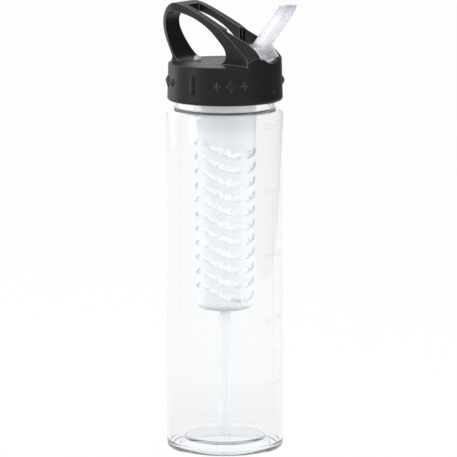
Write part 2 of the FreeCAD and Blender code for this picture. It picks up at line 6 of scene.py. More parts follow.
import bmesh
import bpy
from bpy.props import FloatProperty, FloatVectorProperty, IntProperty, PointerProperty
from bpy.types import Operator, Panel, PropertyGroup
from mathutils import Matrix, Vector


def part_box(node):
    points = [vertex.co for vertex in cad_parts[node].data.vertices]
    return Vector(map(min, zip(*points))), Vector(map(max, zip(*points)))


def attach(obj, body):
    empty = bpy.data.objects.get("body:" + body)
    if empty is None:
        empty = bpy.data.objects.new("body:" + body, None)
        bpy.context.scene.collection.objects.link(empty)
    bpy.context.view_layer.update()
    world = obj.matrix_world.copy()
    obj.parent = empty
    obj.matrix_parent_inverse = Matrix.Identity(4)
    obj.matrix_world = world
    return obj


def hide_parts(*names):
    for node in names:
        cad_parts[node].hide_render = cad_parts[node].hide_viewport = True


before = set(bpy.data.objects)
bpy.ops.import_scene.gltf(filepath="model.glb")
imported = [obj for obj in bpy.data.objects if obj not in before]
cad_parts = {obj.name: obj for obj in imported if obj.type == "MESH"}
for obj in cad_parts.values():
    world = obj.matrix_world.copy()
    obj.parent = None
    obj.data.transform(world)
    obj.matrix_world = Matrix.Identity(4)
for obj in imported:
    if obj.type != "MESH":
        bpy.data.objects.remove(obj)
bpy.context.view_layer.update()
BOTTLE_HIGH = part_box("bottle_body")[1]
LID_LOW, LID_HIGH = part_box("lid_shell")

bl_info = {
    "name": "Infuser bottle looks",
    "version": (1, 0, 0),
    "blender": (4, 5, 0),
    "location": "View3D > Sidebar > Infuser bottle",
    "description": "Gives the bottle's frame its plastics, threads, ornament, capacity scale and studio",
    "category": "Object",
}

MM = 0.001

# Steps round the bottle, along its waist, on a wide rounding, on a small one and on the end of a rib.
AROUND = 160
WAIST_STEPS = 16
WIDE_STEPS = 8
EDGE_STEPS = 5
PILL_STEPS = 12

# Steps in one turn of a thread, and steps over which each of its ends runs out into the wall.
THREAD_STEPS = 72
RUN_OUT_STEPS = 12

# Azimuths in degrees of the grip ribs and of the middle of each group of lozenges.
RIB_AZIMUTHS = (0, 90, 180, 270)
LOZENGE_AZIMUTHS = (50, 135, 225, 310)
# Rings of a rib above the skirt: inset as a share of its width, height as a share of its rise.
RIB_RINGS = ((0.0, 0.45), (0.12, 0.8), (0.34, 1.0))
# Rings of a lozenge above the skirt: size as a share of its foot, height as a share of its rise.
LOZENGE_RINGS = ((0.96, 0.3), (0.08, 1.0))
# Lozenges of a group: place in spacings from the middle one, size as a share of it.
LOZENGE_GROUP = ((-1, 0.72), (0, 1.0), (1, 0.72))
# Height of a lozenge over its width.
LOZENGE_TALL = 1.25

# Columns of numerals: azimuth in degrees, and what each mark adds, in fluid ounces and in millilitres.
NUMERAL_COLUMNS = ((-10.5, 5), (11.5, 150))
# Size of Blender's own font over the height of its figures.
FONT_PER_FIGURE = 1.4
# Azimuths in degrees of the two mould lines, and steps along each.
MOULD_LINE_AZIMUTHS = (0, 180)
MOULD_LINE_STEPS = 16

# The photo's camera: its turn and tilt, its distance, the height it looks at and the aim beside that point.
VIEW_TURN = math.radians(34.3)
VIEW_TILT = math.radians(8.9)
VIEW_DISTANCE = 2.4
VIEW_HEIGHT = 136 * MM
AIM_RIGHT = 2.1 * MM
AIM_DOWN = 1.3 * MM
# Its focal length and the photo's width in pixels, its sensor's width in millimetres and how far it sees.
FOCAL_PIXELS = 3945
PHOTO_PIXELS = 457
SENSOR_WIDTH = 36.0
VIEW_END = 60.0

# Soft boxes: name, metres to the right of the bottle's middle, towards the camera and up from it,
# width and height in metres, and watts.
LAMPS = (
    ("key", -1.1, 0.5, 0.4, 0.4, 1.2, 6.5),
    ("rim", -0.9, -0.6, 0.4, 0.4, 1.2, 3.5),
    ("fill", 1.2, 0.7, 0.3, 0.7, 1.2, 11.0),
    ("top", 0.0, 0.45, 1.2, 1.2, 1.2, 3.0),
)
# The soft box that leaves no glint, and the height that all of them face.
MATT_LAMP = "fill"
LIT_HEIGHT = 140 * MM

# Half the floor's width, its cells, its place below the foot, and the share of plain white in what is seen.
FLOOR_HALF = 9.0
FLOOR_CELLS = 24
FLOOR_DROP = 0.3 * MM
FLOOR_WHITE = 0.95

# The dark card: distance to the right of the bottle, ends towards the camera and away from it, and height.
CARD_RIGHT = 0.7
CARD_NEAR = 0.5
CARD_FAR = -2.0
CARD_HEIGHT = 1.4

# Light bounces, enough for a clear bottle with clear pieces inside.
BOUNCES = 32


def linear(code):
    """Linear colour of an sRGB hex code, with full alpha."""
    shares = [int(code[i:i + 2], 16) / 255 for i in (0, 2, 4)]
    return tuple(c / 12.92 if c <= 0.04045 else ((c + 0.055) / 1.055) ** 2.4 for c in shares) + (1.0,)


def per_metre(size_mm):
    """Texture scale at which one feature of a pattern is this many millimetres wide."""
    return 1 / (size_mm * MM)


def length(name, description, size_mm):
    """A size that a user may change, given in millimetres and kept in metres."""
    return FloatProperty(
        name=name, description=description, default=size_mm * MM, subtype="DISTANCE", unit="LENGTH",
    )


def colour(name, description, code):
    """A colour that a user may change, given as an sRGB hex code and kept linear."""
    return FloatVectorProperty(
        name=name, description=description, default=linear(code), size=4, subtype="COLOR",
    )


class InfuserBottleSizes(PropertyGroup):
    """Sizes of the clear bottle."""

    wall: length("Wall", "Thickness of the bottle's side wall", 1.9)
    base: length("Base", "Thickness of the bottle's base", 2.4)
    heel: length("Heel", "Radius of the rounded edge the bottle stands on", 3.0)
    inner_heel: length("Inner heel", "Radius of the same edge inside", 3.2)
    foot: length("Foot", "Width of the flat foot ring", 4.5)
    punt: length("Punt radius", "Radius at the top of the cone that rises inside the foot ring", 24.0)
    punt_rise: length("Punt rise", "Height of that cone", 5.2)
    disc: length("Disc radius", "Radius of the flat disc in the middle of the base", 8.0)
    disc_rise: length("Disc rise", "Height of the disc above the cone's top", 2.5)
    waist_low: length("Waist start", "Height where the faint waist starts", 70.0)
    waist_high: length("Waist end", "Height where the faint waist ends", 190.0)
    waist_depth: length("Waist depth", "How far the wall draws in at the waist", 0.6)
    shoulder: length("Shoulder", "Radius of the rounded shoulder", 5.0)
    neck: length("Neck radius", "Outer radius of the neck", 30.0)
    neck_wall: length("Neck wall", "Thickness of the neck", 2.0)
    neck_height: length("Neck height", "Height of the neck above the shoulder", 10.8)
    neck_root: length("Neck root", "Radius where the neck leaves the shoulder", 0.8)
    inner_root: length("Inner root", "Radius where the shoulder turns up into the neck inside", 2.6)
    lip: length("Lip", "Radius of the lip's two edges", 0.48)


class InfuserThreadSizes(PropertyGroup):
    """Sizes of the screw threads."""

    pitch: length("Pitch", "Rise of a thread in one turn", 4.0)
    depth: length("Depth", "How far the neck's and the lid's threads stand out", 1.1)
    fine_depth: length("Fine depth", "How far the collar's and the basket's threads stand out", 0.6)
    root: length("Root width", "Width of a thread where it leaves the wall", 2.0)
    crest: length("Crest width", "Width of a thread at its top", 0.8)
    sunk: length("Root depth", "How far a thread's root reaches into the wall", 0.05)
    turns: FloatProperty(name="Turns", description="Turns of the neck's and the lid's threads", default=1.4)
    fine_turns: FloatProperty(name="Fine turns", description="Turns of the fine threads", default=2.5)
    neck_drop: length("Neck drop", "Depth below the lip where the neck's thread starts", 7.2)
    lid_gap: length("Lid gap", "Room between the neck and the wall of the lid's skirt", 2.3)
    collar: length("Collar radius", "Outer radius of the insert's collar", 16.4)
    basket_bore: length("Basket bore", "Inner radius of the basket's rim", 17.4)
    collar_start: length("Collar start", "Height above the insert's lower end where its thread starts", 2.0)


class InfuserOrnamentSizes(PropertyGroup):
    """Sizes of the raised details on the lid's skirt and of the capacity scale."""

    rib_width: length("Rib width", "Width of a grip rib", 3.0)
    rib_height: length("Rib height", "Height of a grip rib", 11.5)
    rib_rise: length("Rib rise", "How far a grip rib stands out", 0.9)
    rib_middle: length("Rib middle", "Height of the ribs' middle above the skirt's lower edge", 12.0)
    skirt_hem: length("Skirt hem", "Height of the upright band at the skirt's lower edge", 2.0)
    skirt_taper: length("Skirt taper", "Height of the tapered part of the skirt", 20.2)
    skirt_draft: length("Skirt draft", "How far the skirt draws in over its tapered part", 0.6)
    skirt_root: length("Skirt root", "How far a rib or a lozenge reaches into the skirt", 0.2)
    lozenge: length("Lozenge", "Width of the middle lozenge of a group", 6.0)
    lozenge_gap: length("Lozenge spacing", "Distance between two lozenges of a group", 8.4)
    lozenge_rise: length("Lozenge rise", "How far a lozenge stands out", 1.4)
    mark_first: length("First mark", "Height of the lowest mark of the scale", 42.8)
    mark_step: length("Mark step", "Distance between two marks", 39.4)
    mark_count: IntProperty(name="Marks", description="Number of numbered marks", default=5, min=1)
    mark_width: length("Mark width", "Width of a numbered mark", 9.0)
    mark_thick: length("Mark thickness", "Height of a numbered mark's line", 0.5)
    half_mark_width: length("Half mark width", "Width of a mark between two numbered ones", 4.0)
    half_mark_thick: length("Half mark thickness", "Height of such a mark's line", 0.4)
    mark_rise: length("Mark rise", "How far the scale stands out", 0.06)
    mark_root: length("Mark root", "How far a mark reaches into the wall", 0.05)
    figure: length("Figure", "Height of a numeral", 4.2)
    mould_line_width: length("Mould line width", "Width of the mould line", 0.24)
    mould_line_length: length("Mould line length", "Length of the mould line", 192.0)
    mould_line_middle: length("Mould line middle", "Height of the mould line's middle", 104.0)


class InfuserColours(PropertyGroup):
    """Colours of the plastics and of the studio."""

    lid: colour("Lid", "Black of the lid", "171718")
    # Painted highlight along the lid's edges.
    lid_edge_highlight: colour("Lid edge", "Grey of the thin line of light on the lid's edges", "7C7C79")
    bottle: colour("Bottle", "Tint that the bottle's wall gives to light along it", "DDE3E8")
    bottle_side: colour("Bottle side", "Clear surface of the bottle above its foot", "FFFFFF")
    # Painted shade: the lower wall is tinted as if it showed the floor's shadow.
    bottle_low_shade: colour("Bottle foot", "Tint of the bottle's thick foot", "F8F8F9")
    milky: colour("Milky", "White of the basket and the insert", "F3F5F6")
    # Painted shade on the basket's walls where they face up or down.
    milky_edge_shade: colour("Milky edge", "Grey of the basket's edges that point up or down", "CAD0D5")
    spout: colour("Spout", "Tint of the mouthpiece", "F3F3F5")
    spout_lip: colour("Spout lip", "Tint of the mouthpiece where it is thick", "ABA9BC")
    straw: colour("Straw", "Tint of the straw and of the clear valve", "F8FAFB")
    silicone: colour("Silicone", "White of the soft rings", "EDEDEA")
    scale: colour("Scale", "Frosted marks of the capacity scale", "C4CAD0")
    floor: colour("Floor", "Pale board the bottle stands on", "F4F4F4")
    background: colour("Background", "White that the floor and the surroundings show", "FFFFFF")
    light: colour("Light", "Even light of the surroundings", "F2F4F6")
    card: colour("Card", "Dark card beside the bottle", "585858")


GROUPS = {
    "infuser_bottle": InfuserBottleSizes,
    "infuser_threads": InfuserThreadSizes,
    "infuser_ornament": InfuserOrnamentSizes,
    "infuser_colours": InfuserColours,
}


def add_node(tree, kind, settings=None, links=None):
    """Adds a node. Settings are properties or input values, and links give inputs their sources."""
    node = tree.nodes.new(kind)
    for name, value in (settings or {}).items():
        if name in node.inputs:
            node.inputs[name].default_value = value
        else:
            setattr(node, name, value)
    for name, source in (links or {}).items():
        tree.links.new(source, node.inputs[name])
    return node


def new_material(name):
    """An empty material, its tree and its output node."""
    material = bpy.data.materials.new(name)
    material.use_nodes = True
    material.node_tree.nodes.clear()
    return material, material.node_tree, add_node(material.node_tree, "ShaderNodeOutputMaterial")


def clear_copolyester(colours):
    """Blow-moulded copolyester: water-clear, glossy and faintly rippled, and grey along its walls; its lower
    wall carries a painted shade.
    """
    material, tree, output = new_material("clear_blow_moulded_copolyester")
    place = add_node(tree, "ShaderNodeTexCoord")
    ripple = add_node(tree, "ShaderNodeTexNoise", {"Scale": per_metre(38), "Detail": 1.0}, {
        "Vector": place.outputs["Object"],
    })
    bump = add_node(tree, "ShaderNodeBump", {"Strength": 0.08, "Distance": 0.6 * MM}, {
        "Height": ripple.outputs["Fac"],
    })
    # The painted shade sets in just above the base and fades out a fifth of the way up, as if the lower wall
    # showed the floor's shadow.
    spot = add_node(tree, "ShaderNodeSeparateXYZ", None, {"Vector": place.outputs["Generated"]})
    base = add_node(tree, "ShaderNodeMapRange", {"From Min": 0.03, "From Max": 0.06}, {
        "Value": spot.outputs["Z"],
    })
    foot = add_node(tree, "ShaderNodeMapRange", {"From Max": 0.22, "To Max": 0.0}, {
        "Value": spot.outputs["Z"], "To Min": base.outputs["Result"],
    })
    clear = add_node(tree, "ShaderNodeMixRGB", {
        "Color1": tuple(colours.bottle_side), "Color2": tuple(colours.bottle_low_shade),
    }, {"Fac": foot.outputs["Result"]})
    wall = add_node(tree, "ShaderNodeBsdfPrincipled", {
        "Roughness": 0.02, "IOR": 1.55, "Transmission Weight": 1.0,
    }, {"Base Color": clear.outputs["Color"], "Normal": bump.outputs["Normal"]})
    tint = add_node(tree, "ShaderNodeVolumeAbsorption", {"Color": tuple(colours.bottle), "Density": 45.0})
    tree.links.new(wall.outputs["BSDF"], output.inputs["Surface"])
    tree.links.new(tint.outputs["Volume"], output.inputs["Volume"])
    return material


def satin_polypropylene(colours):
    """Black polypropylene from a spark-eroded mould: satin and finely grained, with a painted highlight
    along its edges.
    """
    material, tree, output = new_material("satin_black_polypropylene")
    place = add_node(tree, "ShaderNodeTexCoord")
    # The real grain is about 0.2 mm and is drawn at 0.9 mm so that it shows.
    grain = add_node(tree, "ShaderNodeTexNoise", {"Scale": per_metre(0.9), "Detail": 3.0}, {
        "Vector": place.outputs["Object"],
    })
    flow = add_node(tree, "ShaderNodeTexNoise", {"Scale": per_metre(14), "Detail": 2.0}, {
        "Vector": place.outputs["Object"],
    })
    gloss = add_node(tree, "ShaderNodeMapRange", {"To Min": 0.32, "To Max": 0.44}, {
        "Value": flow.outputs["Fac"],
    })
    edge = add_node(tree, "ShaderNodeBevel", {"samples": 8, "Radius": 0.8 * MM})
    bump = add_node(tree, "ShaderNodeBump", {"Strength": 0.12, "Distance": 0.1 * MM}, {
        "Height": grain.outputs["Fac"], "Normal": edge.outputs["Normal"],
    })
    # The painted highlight lies on the edges, where the rounded normal leaves the plain one.
    facing = add_node(tree, "ShaderNodeNewGeometry")
    bend = add_node(tree, "ShaderNodeVectorMath", {"operation": "DOT_PRODUCT"}, {
        0: edge.outputs["Normal"], 1: facing.outputs["Normal"],
    })
    line = add_node(tree, "ShaderNodeMapRange", {"From Min": 0.97, "From Max": 0.85}, {
        "Value": bend.outputs["Value"],
    })
    tone = add_node(tree, "ShaderNodeMixRGB", {
        "Color1": tuple(colours.lid), "Color2": tuple(colours.lid_edge_highlight),
    }, {"Fac": line.outputs["Result"]})
    skin = add_node(tree, "ShaderNodeBsdfPrincipled", {"IOR": 1.49, "Specular IOR Level": 0.17}, {
        "Base Color": tone.outputs["Color"],
        "Roughness": gloss.outputs["Result"],
        "Normal": bump.outputs["Normal"],
    })
    tree.links.new(skin.outputs["BSDF"], output.inputs["Surface"])
    return material


def milky_polypropylene(colours):
    """Natural polypropylene, injection moulded: milky, half see-through, with painted shade on the faces of
    its walls that point up or down.
    """
    material, tree, output = new_material("milky_natural_polypropylene")
    place = add_node(tree, "ShaderNodeTexCoord")
    cloud = add_node(tree, "ShaderNodeTexNoise", {"Scale": per_metre(9), "Detail": 2.0}, {
        "Vector": place.outputs["Object"],
    })
    haze = add_node(tree, "ShaderNodeMapRange", {"To Min": 0.26, "To Max": 0.4}, {
        "Value": cloud.outputs["Fac"],
    })
    # The cut edges are the faces that point up or down; they get a painted shade.
    facing = add_node(tree, "ShaderNodeNewGeometry")
    aim = add_node(tree, "ShaderNodeSeparateXYZ", None, {"Vector": facing.outputs["True Normal"]})
    level = add_node(tree, "ShaderNodeMath", {"operation": "ABSOLUTE"}, {0: aim.outputs["Z"]})
    edge_shade = add_node(tree, "ShaderNodeMapRange", {"From Min": 0.3, "From Max": 0.8}, {
        "Value": level.outputs["Value"],
    })
    tone = add_node(tree, "ShaderNodeMixRGB", {
        "Color1": tuple(colours.milky), "Color2": tuple(colours.milky_edge_shade),
    }, {"Fac": edge_shade.outputs["Result"]})
    wall = add_node(tree, "ShaderNodeBsdfPrincipled", {"IOR": 1.49, "Transmission Weight": 0.3}, {
        "Base Color": tone.outputs["Color"], "Roughness": haze.outputs["Result"],
    })
    glow = add_node(tree, "ShaderNodeBsdfTranslucent", {"Color": tuple(colours.milky)})
    both = add_node(tree, "ShaderNodeMixShader", {"Fac": 0.2}, {
        1: wall.outputs["BSDF"], 2: glow.outputs["BSDF"],
    })
    tree.links.new(both.outputs["Shader"], output.inputs["Surface"])
    return material


def smoky_styrene(colours):
    """Clear styrene plastic, injection moulded: bright edges, faintly smoky through its thick walls."""
    material, tree, output = new_material("smoky_clear_styrene")
    place = add_node(tree, "ShaderNodeTexCoord")
    flow = add_node(tree, "ShaderNodeTexNoise", {"Scale": per_metre(7), "Detail": 1.0}, {
        "Vector": place.outputs["Object"],
    })
    haze = add_node(tree, "ShaderNodeMapRange", {"To Min": 0.08, "To Max": 0.16}, {
        "Value": flow.outputs["Fac"],
    })
    # The walls are thick at the mouth and where they are seen along their length.
    spot = add_node(tree, "ShaderNodeSeparateXYZ", None, {"Vector": place.outputs["Generated"]})
    tip = add_node(tree, "ShaderNodeMapRange", {"From Min": 0.78, "From Max": 1.0, "To Max": 0.8}, {
        "Value": spot.outputs["Z"],
    })
    rim = add_node(tree, "ShaderNodeLayerWeight", {"Blend": 0.2})
    thick = add_node(tree, "ShaderNodeMath", {"operation": "MAXIMUM"}, {
        0: tip.outputs["Result"], 1: rim.outputs["Facing"],
    })
    smoke = add_node(tree, "ShaderNodeMixRGB", {
        "Color1": tuple(colours.spout), "Color2": tuple(colours.spout_lip),
    }, {"Fac": thick.outputs["Value"]})
    wall = add_node(tree, "ShaderNodeBsdfPrincipled", {"IOR": 1.45, "Transmission Weight": 0.5}, {
        "Base Color": smoke.outputs["Color"], "Roughness": haze.outputs["Result"],
    })
    tree.links.new(wall.outputs["BSDF"], output.inputs["Surface"])
    return material


def clear_silicone(colours):
    """Clear liquid silicone, moulded: glassy. The black lid shows through it beside a bright glint."""
    material, tree, output = new_material("clear_liquid_silicone")
    place = add_node(tree, "ShaderNodeTexCoord")
    dust = add_node(tree, "ShaderNodeTexNoise", {"Scale": per_metre(1.2), "Detail": 1.0}, {
        "Vector": place.outputs["Object"],
    })
    haze = add_node(tree, "ShaderNodeMapRange", {"To Min": 0.05, "To Max": 0.15}, {
        "Value": dust.outputs["Fac"],
    })
    skin = add_node(tree, "ShaderNodeBsdfPrincipled", {
        "Base Color": tuple(colours.straw), "IOR": 1.42, "Transmission Weight": 0.55,
    }, {"Roughness": haze.outputs["Result"]})
    tree.links.new(skin.outputs["BSDF"], output.inputs["Surface"])
    return material


def natural_polyethylene(colours):
    """Extruded polyethylene tube: clear with a slight haze drawn out along its length."""
    material, tree, output = new_material("natural_polyethylene_tube")
    place = add_node(tree, "ShaderNodeTexCoord")
    draw = add_node(tree, "ShaderNodeMapping", {"Scale": (1.0, 1.0, 0.05)}, {
        "Vector": place.outputs["Object"],
    })
    lines = add_node(tree, "ShaderNodeTexNoise", {"Scale": per_metre(1.5), "Detail": 1.0}, {
        "Vector": draw.outputs["Vector"],
    })
    haze = add_node(tree, "ShaderNodeMapRange", {"To Min": 0.12, "To Max": 0.26}, {
        "Value": lines.outputs["Fac"],
    })
    wall = add_node(tree, "ShaderNodeBsdfPrincipled", {
        "Base Color": tuple(colours.straw), "IOR": 1.51, "Transmission Weight": 0.5,
    }, {"Roughness": haze.outputs["Result"]})
    tree.links.new(wall.outputs["BSDF"], output.inputs["Surface"])
    return material


def frosted_scale(colours):
    """Copolyester where the mould was etched: a breath of frost on the wall, seen against the light."""
    material, tree, output = new_material("frosted_copolyester_scale")
    place = add_node(tree, "ShaderNodeTexCoord")
    # The etch is finer than 0.1 mm and is drawn at 0.4 mm so that it shows.
    etch = add_node(tree, "ShaderNodeTexNoise", {"Scale": per_metre(0.4), "Detail": 2.0}, {
        "Vector": place.outputs["Object"],
    })
    cover = add_node(tree, "ShaderNodeMapRange", {"To Min": 0.02, "To Max": 0.3}, {
        "Value": etch.outputs["Fac"],
    })
    frost = add_node(tree, "ShaderNodeBsdfPrincipled", {
        "Base Color": tuple(colours.scale), "Roughness": 0.6, "IOR": 1.55,
    }, {"Alpha": cover.outputs["Result"]})
    tree.links.new(frost.outputs["BSDF"], output.inputs["Surface"])
    return material


def natural_silicone(colours):
    """Moulded silicone: whitish, soft to the eye, light glowing a little way into it."""
    material, tree, output = new_material("natural_silicone")
    place = add_node(tree, "ShaderNodeTexCoord")
    dust = add_node(tree, "ShaderNodeTexNoise", {"Scale": per_metre(1.2), "Detail": 2.0}, {
        "Vector": place.outputs["Object"],
    })
    matt = add_node(tree, "ShaderNodeMapRange", {"To Min": 0.4, "To Max": 0.55}, {
        "Value": dust.outputs["Fac"],
    })
    skin = add_node(tree, "ShaderNodeBsdfPrincipled", {
        "Base Color": tuple(colours.silicone),
        "IOR": 1.41,
        "Subsurface Weight": 0.15,
        "Subsurface Scale": 0.6 * MM,
    }, {"Roughness": matt.outputs["Result"]})
    tree.links.new(skin.outputs["BSDF"], output.inputs["Surface"])
    return material


def material_once(maker, context):
    """The material that a maker gives, made on first use."""
    name = f"made_by_{maker.__name__}"
    if name not in context.scene:
        context.scene[name] = maker(context.scene.infuser_colours).name
    return bpy.data.materials[context.scene[name]]


def new_piece(name, bm, body, material, corner=40.0):
    """Turns a bmesh into a piece that rides on a body, with sharp edges from this corner, in degrees."""
    bmesh.ops.recalc_face_normals(bm, faces=bm.faces)
    mesh = bpy.data.meshes.new(name)
    bm.to_mesh(mesh)
    bm.free()
    mesh.materials.append(material)
    mesh.shade_smooth()
    mesh.set_sharp_from_angle(angle=math.radians(corner))
    piece = bpy.data.objects.new(name, mesh)
    bpy.context.scene.collection.objects.link(piece)
    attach(piece, body)
    return piece


def dress(node, material):
    """Gives a CAD node its finish."""
    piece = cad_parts[node]
    piece.data.materials.clear()
    piece.data.materials.append(material)
    return piece


def arc(centre_x, centre_z, radius, start, end, steps=WIDE_STEPS):
    """Points of an arc in a half section, angles in degrees from the outward direction."""
    angles = [math.radians(start + (end - start) * i / steps) for i in range(steps + 1)]
    return [(centre_x + radius * math.cos(a), centre_z + radius * math.sin(a)) for a in angles]


def turn(section):
    """A closed half section turned about the bottle's axis."""
    bm = bmesh.new()
    rings = []
    for radius, z in section:
        count = AROUND if radius > 0 else 1
        angles = [2 * math.pi * i / AROUND for i in range(count)]
        rings.append([bm.verts.new((radius * math.cos(a), radius * math.sin(a), z)) for a in angles])
    for low, high in zip(rings, rings[1:] + rings[:1]):
        for i in range(AROUND):
            corners = [ring[k % len(ring)] for ring, k in ((low, i), (low, i + 1), (high, i + 1), (high, i))]
            corners = list(dict.fromkeys(corners))
            if len(corners) > 2:
                bm.faces.new(corners)
    return bm


def wall_radius(sizes, z):
    """Outer radius of the bottle's side at a height, with its faint waist."""
    middle = (sizes.waist_low + sizes.waist_high) / 2
    share = (z - middle) / (sizes.waist_high - middle)
    return BOTTLE_HIGH.x - sizes.waist_depth * max(0.0, 1 - share * share)


class INFUSER_OT_bottle(Operator):
    """Builds the clear bottle: heel, domed base, waisted wall, shoulder, neck and lip"""

    bl_idname = "infuser.bottle"
    bl_label = "Clear bottle"

    def execute(self, context):
        sizes = context.scene.infuser_bottle
        outer = BOTTLE_HIGH.x
        top = BOTTLE_HIGH.z
        shoulder_top = top - sizes.neck_height
        shoulder_low = shoulder_top - sizes.shoulder
        foot_outer = outer - sizes.heel
        foot_inner = foot_outer - sizes.foot
        bore = outer - sizes.wall
        inner_heel = sizes.inner_heel
        root = sizes.neck_root
        inner_root = sizes.inner_root
        lip = sizes.lip
        neck_bore = sizes.neck - sizes.neck_wall
        ceiling = shoulder_top - sizes.wall
        disc_under = sizes.punt_rise + sizes.disc_rise
        waist_step = (sizes.waist_high - sizes.waist_low) / WAIST_STEPS
        waist = [sizes.waist_low + waist_step * i for i in range(WAIST_STEPS + 1)]
        section = [(foot_inner, 0.0)]
        section += arc(foot_outer, sizes.heel, sizes.heel, -90, 0)
        section += [(wall_radius(sizes, z), z) for z in waist]
        section += arc(outer - sizes.shoulder, shoulder_low, sizes.shoulder, 0, 90)
        section += arc(sizes.neck + root, shoulder_top + root, root, 270, 180, EDGE_STEPS)
        section += arc(sizes.neck - lip, top - lip, lip, 0, 90, EDGE_STEPS)
        section += arc(neck_bore + lip, top - lip, lip, 90, 180, EDGE_STEPS)
        section += arc(neck_bore + inner_root, ceiling + inner_root, inner_root, 180, 270)
        section += arc(outer - sizes.shoulder, shoulder_low, sizes.shoulder - sizes.wall, 90, 0)
        section += [(wall_radius(sizes, z) - sizes.wall, z) for z in reversed(waist)]
        section += arc(bore - inner_heel, sizes.base + inner_heel, inner_heel, 0, -90)
        under = [(0.0, disc_under), (sizes.disc, disc_under), (sizes.punt, sizes.punt_rise)]
        section += [(foot_inner, sizes.base)]
        section += [(radius, z + sizes.base) for radius, z in reversed(under)]
        section += under
        glass = material_once(clear_copolyester, context)
        bottle = new_piece("clear_bottle", turn(section), "bottle", glass)
        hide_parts("bottle_body")
        bottle.visible_shadow = False
        return {"FINISHED"}


def screw_ridge(sizes, radius, out, depth, z_start, turns):
    """A right-handed trapezium thread, outwards (1) or inwards (-1), its ends run out into the wall."""
    bm = bmesh.new()
    steps = int(turns * THREAD_STEPS)
    foot = radius - out * sizes.sunk
    rows = []
    for i in range(steps + 1):
        angle = 2 * math.pi * i / THREAD_STEPS
        fade = min(1.0, i / RUN_OUT_STEPS, (steps - i) / RUN_OUT_STEPS)
        z = z_start + sizes.pitch * i / THREAD_STEPS
        rim = radius + out * depth * fade
        low = ((foot, -sizes.root / 2), (rim, -sizes.crest / 2))
        high = ((rim, sizes.crest / 2), (foot, sizes.root / 2))
        spots = [(r * math.cos(angle), r * math.sin(angle), z + dz) for r, dz in low + high]
        rows.append([bm.verts.new(spot) for spot in spots])
    for row, after in zip(rows, rows[1:]):
        for i in range(len(row)):
            k = (i + 1) % len(row)
            bm.faces.new((row[i], row[k], after[k], after[i]))
    bm.faces.new(rows[0])
    bm.faces.new(rows[-1])
    return bm


class INFUSER_OT_threads(Operator):
    """Raises the screw threads of the neck, the lid's skirt, the insert's collar and the basket"""

    bl_idname = "infuser.threads"
    bl_label = "Screw threads"

    def execute(self, context):
        sizes = context.scene.infuser_threads
        neck = context.scene.infuser_bottle.neck
        neck_z = BOTTLE_HIGH.z - sizes.neck_drop
        collar_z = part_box("lid_insert")[0].z + sizes.collar_start
        # A thread's partner lies half a pitch higher, in the groove between two turns.
        partner = sizes.pitch / 2
        fine = sizes.fine_depth
        glass = material_once(clear_copolyester, context)
        black = material_once(satin_polypropylene, context)
        milky = material_once(milky_polypropylene, context)
        thread = screw_ridge(sizes, neck, 1, sizes.depth, neck_z, sizes.turns)
        new_piece("neck_thread", thread, "bottle", glass)
        thread = screw_ridge(sizes, neck + sizes.lid_gap, -1, sizes.depth, neck_z + partner, sizes.turns)
        new_piece("lid_thread", thread, "lid", black)
        thread = screw_ridge(sizes, sizes.collar, 1, fine, collar_z, sizes.fine_turns)
        new_piece("collar_thread", thread, "lid", milky)
        thread = screw_ridge(sizes, sizes.basket_bore, -1, fine, collar_z + partner, sizes.fine_turns)
        new_piece("basket_thread", thread, "basket", milky)
        return {"FINISHED"}


def raised_boss(bm, rings, azimuth, z_middle, surface):
    """Adds a boss to a bmesh. Rings are (outline, rise) from foot to top, wrapped on a round surface."""
    made = []
    for outline, rise in rings:
        spots = []
        for across, along in outline:
            z = z_middle + along
            radius = surface(z) + rise
            angle = math.radians(azimuth) + across / surface(z)
            spots.append(bm.verts.new((radius * math.cos(angle), radius * math.sin(angle), z)))
        made.append(spots)
    for low, high in zip(made, made[1:]):
        for i in range(len(low)):
            k = (i + 1) % len(low)
            bm.faces.new((low[i], low[k], high[k], high[i]))
    bm.faces.new(made[-1])
    bm.faces.new(made[0])


def pill_outline(half_width, half_height):
    """Outline of an upright pill, as (across, along) points."""
    straight = half_height - half_width
    angles = [math.pi * i / PILL_STEPS for i in range(PILL_STEPS + 1)]
    top = [(half_width * math.cos(a), straight + half_width * math.sin(a)) for a in angles]
    return top + [(-x, -y) for x, y in top]


def skirt_radius(sizes, z):
    """Outer radius of the lid's tapered skirt at a height."""
    return LID_HIGH.y - sizes.skirt_draft * (z - LID_LOW.z - sizes.skirt_hem) / sizes.skirt_taper


